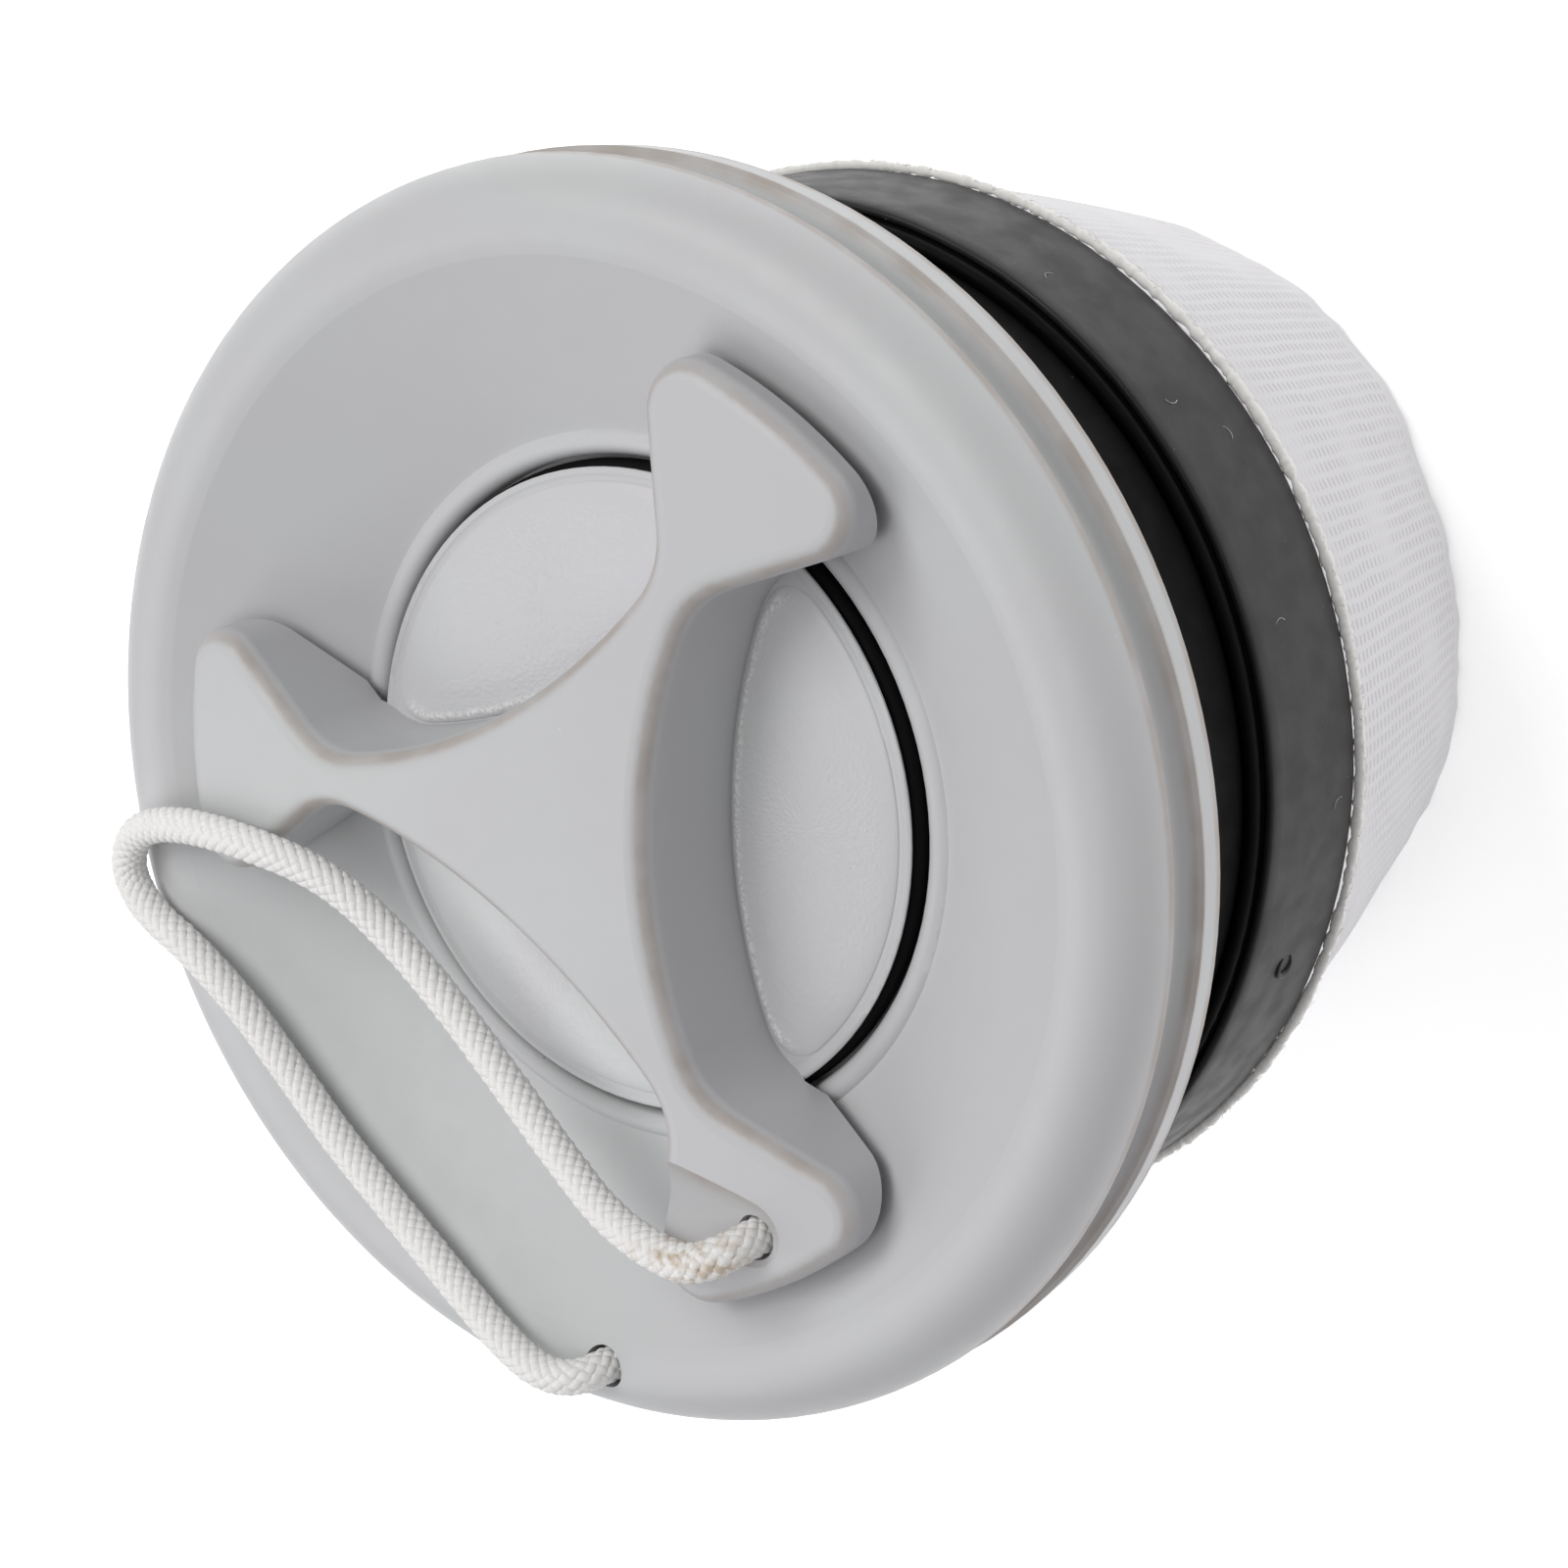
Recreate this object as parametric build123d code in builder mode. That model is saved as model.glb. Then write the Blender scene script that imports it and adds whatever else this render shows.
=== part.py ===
from build123d import *
import math
import os

# Inflatable-boat deck drain: a flanged body closed by a three-arm screw cap on a tether, a black
# rear collar and clamp band that hold it to the deck, and a fabric drain sock behind.
# Millimetres. +Z is the drain's axis, out of the deck; z = 0 is the deck face under the lip.

# ---- front flange ----
lip_radius = 52.5            # rear edge of the lip, on the deck
lip_height = 3.2
lip_swell = 0.35             # how far the lip stands out at its front corner
cove_depth = 1.5             # hollow between the lip and the rim
rim_radius = 47.8            # centre circle of the rounded rim
rim_tube = 5.15              # radius of the rim's round section
rim_height = 7.35            # height of the section's centre
dish_foot_radius = 30.05     # where the dish meets the ring round the cap
dish_foot_height = 4.0
ring_crest_radius = 29.0     # crest of the ring round the cap
ring_crest_height = 4.35
shell = 2.4                  # wall of the flange moulding
outer_inside = 49.9          # inside of the outer wall
under_rim_rise = 1.3         # where the rim's hollow meets the dish's underside

seat_radius = 27.9           # recess that the cap's O-ring lies in
seat_top = 3.2
seat_floor = 1.6
throat_radius = 25.6         # wall of the drain throat, between the thread ridges
throat_wall = 3.2
throat_end = -14.0
spigot_radius = 40.3         # outside of the flange's rear spigot
spigot_wall = 2.9
spigot_end = -16.0
rim_rib_radius = 45.0        # inner end of the ribs under the rim
rim_ribs = 12
throat_ribs = 6
rib_half = 1.0
gasket_outer = 50.4
gasket_thickness = 1.6
gasket_gap = 0.6             # between the gasket and the collar

# ---- threads ----
thread_pitch = 4.0
thread_depth = 1.2
thread_sink = 0.4            # how deep a ridge is rooted in its wall
ridge_root = 0.9             # half height of a ridge at its root
ridge_crest = 0.4            # half height of a ridge at its crest
thread_turns = 2.25
plug_turns = 1.75
female_start = -12.3         # lowest section of the two female threads
spigot_start = -14.3
plug_start = -10.3

# ---- rear collar, seal, clamp band and sock ----
collar_radius = 44.1         # black collar, the part that stands in the deck's hole
collar_bore = 41.9
collar_top = -0.3
collar_end = -31.9
collar_step = -17.3          # the collar's shoulder, in front of the seal
collar_seat_radius = 43.2    # reduced outside that carries the seal and the band
bead_radius = 44.55
bead_height = -18.15
bead_tube = 0.65
band_front = -18.7
band_front_radius = 46.05
band_face_radius = 45.35     # inside of the band's front face, round the seal
band_rear = -31.8
band_rear_radius = 46.3
band_bevel = 0.3
seal_floor = -19.5
gate_azimuth = -28.3         # moulding gate on the band's outer face
gate_height = -25.0
gate_radius = 0.9
gate_length = 1.2

sock_mouth = -65.5
sock_root_radius = 46.0
sock_mouth_radius = 38.2
sock_wall = 0.8
piece_gap = 0.05             # between pieces that are clamped together
ring_outer_radius = 44.3     # retaining ring inside the sock
ring_taper = 0.4
ring_end = -35.9

# ---- cap: disc, neck and plug ----
disc_radius = 27.15          # cap disc, inside the visible O-ring
disc_under = 3.9
disc_edge = 5.15             # crest of the disc's thin edge
edge_under = 4.65            # underside of the thin edge
edge_root_radius = 26.1      # where the thin edge leaves the disc
valley_radius = 26.2         # shallow valley inside the thin edge
valley_height = 4.98
pad_foot_radius = 25.6
pad_foot_height = 5.05
pad_height = 5.4             # the pads where they meet the grip's sides
pad_crown = 5.5
pad_flat_radius = 9.0
neck_radius = 24.9
neck_bore = 21.9
neck_end = -1.5
plug_radius = 23.9           # core of the cap's thread
plug_wall = 2.4
plug_end = -13.0
plug_chamfer = 0.5
o_ring_radius = 26.4
o_ring_tube = 1.15
o_ring_height = 3.05

# ---- cap: three-arm grip ----
handle_top = 17.7            # crown of the handle, on the axis
handle_crown = 270.0         # radius of the crowned top
tip_radius = 41.3            # outer end of the three arms
first_arm = 50.7             # azimuth of one arm, degrees
side_radius = 50.5           # hollow sides of the hub between two arms
side_reach = 9.9             # nearest that a side comes to the axis
neck_station = 24.8          # where an arm starts to flare
neck_half_width = 2.05
flare_angle = 39.0
flare_length = 24.0
neck_round = 7.0
tip_round = 4.0
arm_start_radius = 29.3      # where an arm leaves the disc
arm_start_height = 5.5
arm_gap = 1.7                # gap between an arm and the dish
arm_wall = 1.8
edge_roll = 1.8
hub_hollow_radius = 19.0
hub_ceiling = 14.8
tip_hollow_start = 28.5
tip_ceiling = 13.2

# ---- tether cord and knots ----
cord_diameter = 3.0
cord_hole = 3.8
scoop_radius = 5.5           # shallow scoop that the cord lies in, from its hole over the arm's flank
scoop_turn = 232.0           # its direction, from the arm's own azimuth
scoop_depth = 0.9            # depth at the hole
scoop_fall = 0.04            # how fast it deepens towards the flank
scoop_length = 16.0
cord_arm = first_arm - 120   # azimuth of the arm that holds the cord
cap_hole_radius = 36.7       # the cord's hole, out along its arm
rim_hole_radius = 48.0       # the cord's hole in the rim
rim_hole_azimuth = -98.3
knot_top = 13.1              # flattened stopper knot under the arm
knot_bottom = 9.7
knot_neck_radius = 1.7
knot_radius = 2.6
rim_knot_radius = 2.45
rim_knot_height = 7.2

os.makedirs("parts", exist_ok=True)


def at(radius, azimuth, height=0.0):
    """A point from its radius, azimuth in degrees and height."""
    angle = math.radians(azimuth)
    return (radius * math.cos(angle), radius * math.sin(angle), height)


def radial_plane(azimuth):
    """The plane through the axis at an azimuth: x is the radius and y the height."""
    return Plane(origin=(0, 0, 0), x_dir=at(1, azimuth), z_dir=at(1, azimuth - 90))


def write(name, part):
    """Label a finished piece and write its STEP file."""
    part.label = name
    export_step(part, f"parts/{name}.step")
    print(f"{name}: {len(part.solids())} solid, {part.volume:.0f} mm3")


# The dish is tangent to the rim's round section.
foot_run = rim_radius - dish_foot_radius
foot_rise = rim_height - dish_foot_height
foot_to_rim = math.hypot(foot_run, foot_rise)
dish_angle = math.atan2(foot_rise, foot_run) + math.asin(rim_tube / foot_to_rim)
dish_slope = math.tan(dish_angle)
dish_top = (rim_radius - rim_tube * math.sin(dish_angle), rim_height + rim_tube * math.cos(dish_angle))
shell_drop = shell / math.cos(dish_angle)


def dish_height(radius):
    """Height of the dish's straight slope, from its foot to where it meets the rim."""
    return dish_foot_height + (radius - dish_foot_radius) * dish_slope


def under_dish(radius, overlap=0.0):
    """A point on the dish's underside, or a little inside its wall."""
    return (radius, dish_height(radius) - shell_drop + overlap)


def crown_height(radius):
    """Height of the handle's crowned top."""
    return handle_top - handle_crown + math.sqrt(handle_crown**2 - radius**2)


def thread_ridge(wall_radius, start, turns, outwards):
    """Sweep a thread ridge along a helix on a wall, standing outwards or inwards from it."""
    way = 1 if outwards else -1
    root = wall_radius - way * thread_sink
    crest = wall_radius + way * thread_depth
    with BuildLine() as helix:
        Helix(thread_pitch, thread_pitch * turns, wall_radius, center=(0, 0, start))
    with BuildSketch(Plane.XZ) as section:
        Polygon((root, start - ridge_root), (crest, start - ridge_crest), (crest, start + ridge_crest),
                (root, start + ridge_root), align=None)
    sweep(section.sketch, path=helix.wires()[0], is_frenet=True)


# ---- front flange: lip, cove, rim, dish, throat and rear spigot in one moulding ----
cavity_tube = rim_tube - shell
lip_front = (lip_radius + lip_swell, lip_height - lip_swell)
cove_middle = (lip_radius - cove_depth, (lip_height + rim_height) / 2)
rim_outer = (rim_radius + rim_tube, rim_height)
rim_crest = (rim_radius, rim_height + rim_tube)
dish_foot = (dish_foot_radius, dish_foot_height)
ring_crest = (ring_crest_radius, ring_crest_height)
throat_outside = throat_radius + throat_wall
spigot_inside = spigot_radius - spigot_wall
rib_overlap = 0.5
throat_rib_end = 5.0
spigot_rib_end = 7.0
rib_root = 2.0

with BuildPart() as front_flange:
    with BuildSketch(Plane.XZ):
        with BuildLine():
            Polyline((gasket_outer, 0), (lip_radius, 0), lip_front, (lip_radius, lip_height))
            ThreePointArc((lip_radius, lip_height), cove_middle, rim_outer)
            ThreePointArc(rim_outer, rim_crest, dish_top)
            Line(dish_top, dish_foot)
            ThreePointArc(dish_foot, ring_crest, (seat_radius, seat_top))
            Polyline((seat_radius, seat_top), (seat_radius, seat_floor), (throat_radius, seat_floor),
                     (throat_radius, throat_end), (throat_outside, throat_end), under_dish(throat_outside),
                     under_dish(spigot_inside), (spigot_inside, spigot_end), (spigot_radius, spigot_end),
                     under_dish(spigot_radius), (rim_radius - cavity_tube, rim_height + under_rim_rise))
            ThreePointArc((rim_radius - cavity_tube, rim_height + under_rim_rise),
                          (rim_radius, rim_height + cavity_tube), (rim_radius + cavity_tube, rim_height))
            Polyline((rim_radius + cavity_tube, rim_height), (outer_inside, rim_height - 1.0),
                     (outer_inside, gasket_thickness), (gasket_outer, gasket_thickness), (gasket_outer, 0))
        make_face()
    revolve(axis=Axis.Z)
    # Ribs under the rim, which the gasket rests on, and ribs between throat and spigot.
    for i in range(rim_ribs):
        with BuildSketch(radial_plane(360 / rim_ribs * i)):
            with BuildLine():
                Polyline((rim_rib_radius, gasket_thickness), (outer_inside + 0.3, gasket_thickness),
                         (outer_inside + 0.3, rim_height),
                         (rim_radius, rim_height + cavity_tube + rib_overlap),
                         under_dish(rim_rib_radius, rib_overlap), (rim_rib_radius, gasket_thickness))
            make_face()
        extrude(amount=rib_half, both=True)
    for i in range(throat_ribs):
        with BuildSketch(radial_plane(360 / throat_ribs * i)):
            with BuildLine():
                Polyline((throat_radius + rib_root, throat_end + throat_rib_end),
                         (spigot_radius - rib_root, spigot_end + spigot_rib_end),
                         under_dish(spigot_radius - rib_root, rib_overlap),
                         under_dish(throat_radius + rib_root, rib_overlap),
                         (throat_radius + rib_root, throat_end + throat_rib_end))
            make_face()
        extrude(amount=rib_half, both=True)
    # Female thread for the cap, male thread for the rear collar.
    thread_ridge(throat_radius, female_start, thread_turns, outwards=False)
    thread_ridge(spigot_radius, spigot_start, thread_turns, outwards=True)
    # Hole for the cord, down through the rim's crest.
    with Locations(at(rim_hole_radius, rim_hole_azimuth, rim_height + rim_tube)):
        Cylinder(cord_hole / 2, 7, mode=Mode.SUBTRACT)
write("front_flange", front_flange.part)

# ---- flange gasket: flat rubber ring under the rim, flush with the deck face ----
with BuildPart() as flange_gasket:
    with BuildSketch():
        Circle(gasket_outer - 0.1)
        Circle(collar_radius + gasket_gap, mode=Mode.SUBTRACT)
    extrude(amount=gasket_thickness)
write("flange_gasket", flange_gasket.part)

# ---- rear collar: black tube screwed over the spigot ----
collar_bevel = 0.5
with BuildPart() as rear_collar:
    with BuildSketch(Plane.XZ):
        with BuildLine():
            Polyline((collar_bore, collar_top), (collar_radius - collar_bevel, collar_top),
                     (collar_radius, collar_top - collar_bevel), (collar_radius, collar_step),
                     (collar_seat_radius, collar_step - 0.3), (collar_seat_radius, collar_end),
                     (collar_bore, collar_end), (collar_bore, collar_top))
        make_face()
    revolve(axis=Axis.Z)
    thread_ridge(collar_bore, female_start, thread_turns, outwards=False)
write("rear_collar", rear_collar.part)

# ---- hull seal: rubber washer with a raised bead, on the band's front face ----
washer_width = 1.8
washer_thickness = 0.8
washer_middle = (collar_seat_radius + 0.25 + washer_width / 2, seal_floor + 0.1 + washer_thickness / 2)
with BuildPart() as hull_seal:
    with BuildSketch(Plane.XZ):
        with Locations(washer_middle):
            Rectangle(washer_width, washer_thickness)
        with Locations((bead_radius, bead_height)):
            Circle(bead_tube)
    revolve(axis=Axis.Z)
write("hull_seal", hull_seal.part)

# ---- clamp band: soft black flange ring on the collar ----
with BuildPart() as clamp_band:
    with BuildSketch(Plane.XZ):
        with BuildLine():
            Polyline((collar_seat_radius, seal_floor), (band_face_radius, seal_floor),
                     (band_face_radius, band_front), (band_front_radius - band_bevel / 2, band_front),
                     (band_front_radius, band_front - band_bevel),
                     (band_rear_radius, band_rear + 2 * band_bevel),
                     (band_rear_radius - band_bevel, band_rear), (collar_seat_radius, band_rear),
                     (collar_seat_radius, seal_floor))
        make_face()
    revolve(axis=Axis.Z)
    # Moulding gate pip on the outer face.
    gate_place = at(band_front_radius - 0.15, gate_azimuth, gate_height)
    with Locations(Plane(origin=gate_place, z_dir=at(1, gate_azimuth))):
        Cylinder(gate_radius, gate_length)
write("clamp_band", clamp_band.part)

# ---- drain sock: fabric sleeve with a flange clamped under the band ----
sock_top = band_rear - piece_gap
flange_inside = collar_seat_radius + 0.2
with BuildPart() as drain_sock:
    with BuildSketch(Plane.XZ):
        with BuildLine():
            Polyline((flange_inside, sock_top), (sock_root_radius, sock_top), (sock_mouth_radius, sock_mouth),
                     (sock_mouth_radius - sock_wall, sock_mouth),
                     (sock_root_radius - sock_wall, sock_top - sock_wall),
                     (flange_inside, sock_top - sock_wall), (flange_inside, sock_top))
        make_face()
    revolve(axis=Axis.Z)
write("drain_sock", drain_sock.part)

# ---- sock ring: retaining ring inside the sock that holds its flange to the band ----
ring_top = collar_end - piece_gap
ring_step = sock_top - sock_wall - piece_gap
ring_step_radius = collar_seat_radius + 0.1
with BuildPart() as sock_ring:
    with BuildSketch(Plane.XZ):
        with BuildLine():
            Polyline((collar_bore, ring_top), (ring_step_radius, ring_top), (ring_step_radius, ring_step),
                     (ring_outer_radius, ring_step), (ring_outer_radius - ring_taper, ring_end),
                     (collar_bore, ring_end), (collar_bore, ring_top))
        make_face()
    revolve(axis=Axis.Z)
write("sock_ring", sock_ring.part)


# ---- cap handle: disc with three pads and a hollow three-arm grip ----
# A side's corner at an arm's neck, seen from the middle azimuth between two arms.
neck_corner = Vector(neck_station, neck_half_width).rotate(Axis.Z, -60)
neck_point = (neck_corner.X, abs(neck_corner.Y))
beyond_tips = 60.0


def bite_outline():
    """The space between two arms, about its own middle azimuth: the hub's side and two flares."""
    with BuildSketch(mode=Mode.PRIVATE) as bite:
        with BuildLine():
            side = ThreePointArc(neck_point, (side_reach, 0), (neck_point[0], -neck_point[1]))
            flare = PolarLine(side @ 1, flare_length, -60 + flare_angle)
            flare_end = flare @ 1
            Polyline(flare_end, (beyond_tips, flare_end.Y), (beyond_tips, -flare_end.Y),
                     (flare_end.X, -flare_end.Y), side @ 0)
        make_face()
    return bite.sketch


def handle_plan(inset=0.0):
    """The grip's plan: a disc with three bites, its necks and tip corners rounded."""
    with BuildSketch() as plan:
        Circle(tip_radius)
        for i in range(3):
            add(bite_outline(), rotation=first_arm + 60 + 120 * i, mode=Mode.SUBTRACT)
        fillet(plan.vertices().filter_by(lambda v: math.hypot(v.X, v.Y) < 30), neck_round)
        fillet(plan.vertices().filter_by(lambda v: math.hypot(v.X, v.Y) > tip_radius - 0.1), tip_round)
        if inset:
            offset(amount=-inset, kind=Kind.INTERSECTION, mode=Mode.REPLACE)
    return plan.sketch


crown_half = 21.0            # two stations on the crowned top, the second past the tips
crown_end = 43.0
with BuildPart() as cap_handle:
    with BuildSketch(Plane.XZ):
        with BuildLine():
            Line((0, disc_under), (0, handle_top))
            ThreePointArc((0, handle_top), (crown_half, crown_height(crown_half)),
                          (crown_end, crown_height(crown_end)))
            Polyline((crown_end, crown_height(crown_end)), (crown_end, dish_height(crown_end) + arm_gap),
                     (arm_start_radius, dish_height(arm_start_radius) + arm_gap),
                     (disc_radius + 0.2, arm_start_height), (disc_radius - 0.3, disc_edge - 0.1),
                     (edge_root_radius, edge_under - 0.05), (neck_radius + 0.1, disc_under), (0, disc_under))
        make_face()
    revolve(axis=Axis.Z)
    add(extrude(handle_plan(), amount=30, mode=Mode.PRIVATE), mode=Mode.INTERSECT)
    fillet(cap_handle.faces().sort_by(Axis.Z)[-1].edges(), edge_roll)
    # Disc with a thin raised edge, a shallow valley inside it and gently domed pads.
    with BuildSketch(Plane.XZ):
        with BuildLine():
            Polyline((0, pad_crown), (0, disc_under), (neck_radius + 0.1, disc_under),
                     (edge_root_radius, edge_under - 0.05), (disc_radius - 0.15, edge_under),
                     (disc_radius, edge_under + 0.15), (disc_radius, disc_edge - 0.15))
            ThreePointArc((disc_radius, disc_edge - 0.15), (disc_radius - 0.3, disc_edge),
                          (disc_radius - 0.65, disc_edge - 0.08))
            ThreePointArc((disc_radius - 0.65, disc_edge - 0.08), (valley_radius, valley_height),
                          (pad_foot_radius, pad_foot_height))
            ThreePointArc((pad_foot_radius, pad_foot_height), (17, pad_height), (pad_flat_radius, pad_crown))
            Line((pad_flat_radius, pad_crown), (0, pad_crown))
        make_face()
    revolve(axis=Axis.Z)
    # Neck under the disc, which the plug is joined to.
    with BuildSketch(Plane.XZ):
        with BuildLine():
            Polyline((neck_bore, neck_end), (neck_radius, neck_end), (neck_radius, disc_under + 0.4),
                     (neck_bore, disc_under + 0.4), (neck_bore, neck_end))
        make_face()
    revolve(axis=Axis.Z)
    # Hollows: one under the hub, open through the disc, and one under each arm's tip.
    with BuildSketch():
        add(handle_plan(arm_wall))
        Circle(hub_hollow_radius, mode=Mode.INTERSECT)
    extrude(amount=hub_ceiling, mode=Mode.SUBTRACT)
    with BuildSketch():
        add(handle_plan(arm_wall))
        Circle(tip_hollow_start, mode=Mode.SUBTRACT)
    extrude(amount=tip_ceiling, mode=Mode.SUBTRACT)
    # The cord's hole in the third arm, and the scoop from it over the arm's flank.
    with Locations(at(cap_hole_radius, cord_arm, handle_top - 3.7)):
        Cylinder(cord_hole / 2, 12, mode=Mode.SUBTRACT)
    scoop_axis_height = crown_height(cap_hole_radius) - scoop_depth + scoop_radius
    scoop_start = Vector(*at(cap_hole_radius, cord_arm, scoop_axis_height))
    scoop_way = (Vector(*at(1, cord_arm + scoop_turn)) - Vector(0, 0, scoop_fall)).normalized()
    with Locations(Plane(origin=scoop_start + scoop_way * scoop_length / 2, z_dir=scoop_way)):
        Cylinder(scoop_radius, scoop_length, mode=Mode.SUBTRACT)
    with Locations(scoop_start):
        Sphere(scoop_radius, mode=Mode.SUBTRACT)
write("cap_handle", cap_handle.part)

# ---- cap plug: threaded cup welded to the handle's neck ----
weld_gap = 0.02
sleeve_outside = neck_bore - piece_gap
sleeve_top = disc_under - 0.3
plug_floor = plug_end + 2.0
with BuildPart() as cap_plug:
    with BuildSketch(Plane.XZ):
        with BuildLine():
            Polyline((0, plug_end), (plug_radius - plug_chamfer, plug_end),
                     (plug_radius, plug_end + plug_chamfer),
                     (plug_radius, neck_end - weld_gap), (sleeve_outside, neck_end - weld_gap),
                     (sleeve_outside, sleeve_top), (neck_bore - plug_wall, sleeve_top),
                     (neck_bore - plug_wall, neck_end - 1.5), (plug_radius - plug_wall, neck_end - 3.5),
                     (plug_radius - plug_wall, plug_floor), (0, plug_floor), (0, plug_end))
        make_face()
    revolve(axis=Axis.Z)
    thread_ridge(plug_radius, plug_start, plug_turns, outwards=True)
write("cap_plug", cap_plug.part)

# ---- cap seal: O-ring on the neck, in the flange's seat ----
with BuildPart() as cap_seal:
    with BuildSketch(Plane.XZ):
        with Locations((o_ring_radius, o_ring_height)):
            Circle(o_ring_tube)
    revolve(axis=Axis.Z)
write("cap_seal", cap_seal.part)

# ---- tether cord: from the knot under the third arm, over the cap, round the rim and into it ----
cap_hole = at(cap_hole_radius, cord_arm)
rim_hole = at(rim_hole_radius, rim_hole_azimuth)
cord_route = [
    (cap_hole[0], cap_hole[1], 13.2), (cap_hole[0], cap_hole[1], 15.9), (11.3, -35.2, 17.9),
    (7.4, -36.0, 17.9), (0.5, -33.1, 17.1), (-4.8, -28.1, 16.0), (-9.7, -22.8, 15.1), (-15.1, -16.6, 14.4),
    (-20.3, -10.1, 14.8), (-25.2, -4.4, 16.4), (-33.0, -1.0, 17.8), (-41.8, 0.2, 16.5), (-48.2, -0.8, 15.0),
    (-51.2, -4.5, 14.0), (-49.3, -8.4, 14.1), (-44.3, -11.7, 14.4), (-40.3, -16.8, 13.6),
    (-36.8, -22.4, 13.0), (-32.2, -28.8, 13.0), (-26.2, -35.0, 13.4), (-20.2, -40.6, 14.2),
    (-15.1, -45.4, 14.8), (-11.3, -47.7, 15.0), (-8.2, -47.95, 14.4), (rim_hole[0], rim_hole[1], 12.0),
    (rim_hole[0], rim_hole[1], 9.5),
]


def corner_radii(route):
    """Radius at each corner: 0.45 of the shorter run, over the tangent of half the turn."""
    radii = []
    for before, here, after in zip(route, route[1:], route[2:]):
        run_in = Vector(*here) - Vector(*before)
        run_out = Vector(*after) - Vector(*here)
        half_turn = math.radians(run_in.get_angle(run_out)) / 2
        radii.append(0.45 * min(run_in.length, run_out.length) / math.tan(half_turn))
    return radii


cord_radii = corner_radii(cord_route)
print("cord radii", [round(r, 1) for r in cord_radii])
with BuildPart() as tether_cord:
    with BuildLine() as cord_line:
        FilletPolyline(*cord_route, radius=cord_radii)
    with BuildSketch(Plane(origin=cord_route[0], z_dir=(0, 0, 1))):
        Circle(cord_diameter / 2)
    sweep(path=cord_line.wires()[0])
cord_length = cord_line.wires()[0].length
cord_section = math.pi * cord_diameter**2 / 4
print(f"cord length {cord_length:.1f}, volume over section times length "
      f"{tether_cord.part.volume / (cord_section * cord_length):.4f}")
write("tether_cord", tether_cord.part)

# ---- knots: a flattened stopper under the arm and a round one under the rim ----
with BuildPart() as cap_knot:
    with BuildSketch(Plane.XZ):
        with BuildLine():
            Polyline((0, knot_bottom), (0, knot_top), (knot_neck_radius, knot_top))
            ThreePointArc((knot_neck_radius, knot_top), (knot_radius, (knot_top + knot_bottom) / 2),
                          (knot_neck_radius, knot_bottom))
            Line((knot_neck_radius, knot_bottom), (0, knot_bottom))
        make_face()
    revolve(axis=Axis.Z)
cap_knot.part = cap_knot.part.moved(Location((cap_hole[0], cap_hole[1], 0)))
write("cap_knot", cap_knot.part)

with BuildPart() as flange_knot:
    with Locations(at(rim_hole_radius - 0.5, rim_hole_azimuth, rim_knot_height)):
        Sphere(rim_knot_radius)
write("flange_knot", flange_knot.part)
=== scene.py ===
"""Boat deck drain with a three-arm screw cap: the looks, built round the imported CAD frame.

Metres, +Z out of the deck, z = 0 in the deck's face. Sizes with names below are in millimetres
unless their comment says otherwise, and MM turns them into metres.
"""
import math
import random

import bmesh
import bpy
import numpy as np
from mathutils import Matrix, Vector, noise


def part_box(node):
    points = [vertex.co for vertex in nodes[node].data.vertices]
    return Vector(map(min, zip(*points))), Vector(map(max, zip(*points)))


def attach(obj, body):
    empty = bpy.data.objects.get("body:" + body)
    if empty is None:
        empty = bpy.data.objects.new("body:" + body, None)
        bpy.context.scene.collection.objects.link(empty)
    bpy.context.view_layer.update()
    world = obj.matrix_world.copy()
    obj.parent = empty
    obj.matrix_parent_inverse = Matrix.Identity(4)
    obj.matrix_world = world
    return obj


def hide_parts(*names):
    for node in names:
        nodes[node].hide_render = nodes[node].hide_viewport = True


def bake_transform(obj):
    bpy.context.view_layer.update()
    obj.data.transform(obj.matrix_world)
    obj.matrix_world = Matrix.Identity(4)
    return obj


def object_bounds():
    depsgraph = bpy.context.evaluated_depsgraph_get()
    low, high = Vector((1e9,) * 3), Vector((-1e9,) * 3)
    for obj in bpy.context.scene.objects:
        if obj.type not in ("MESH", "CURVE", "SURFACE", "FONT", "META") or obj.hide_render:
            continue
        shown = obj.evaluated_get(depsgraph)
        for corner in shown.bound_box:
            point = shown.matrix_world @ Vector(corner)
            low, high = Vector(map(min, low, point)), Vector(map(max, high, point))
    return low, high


MM = 0.001
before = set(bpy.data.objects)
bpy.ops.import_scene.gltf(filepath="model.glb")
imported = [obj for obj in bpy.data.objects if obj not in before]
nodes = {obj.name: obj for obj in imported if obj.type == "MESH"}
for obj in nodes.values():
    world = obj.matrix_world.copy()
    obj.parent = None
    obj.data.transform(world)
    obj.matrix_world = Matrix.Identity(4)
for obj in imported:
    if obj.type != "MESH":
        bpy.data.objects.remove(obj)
cad_box = [list(corner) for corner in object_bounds()]
dice = random.Random(7)

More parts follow.
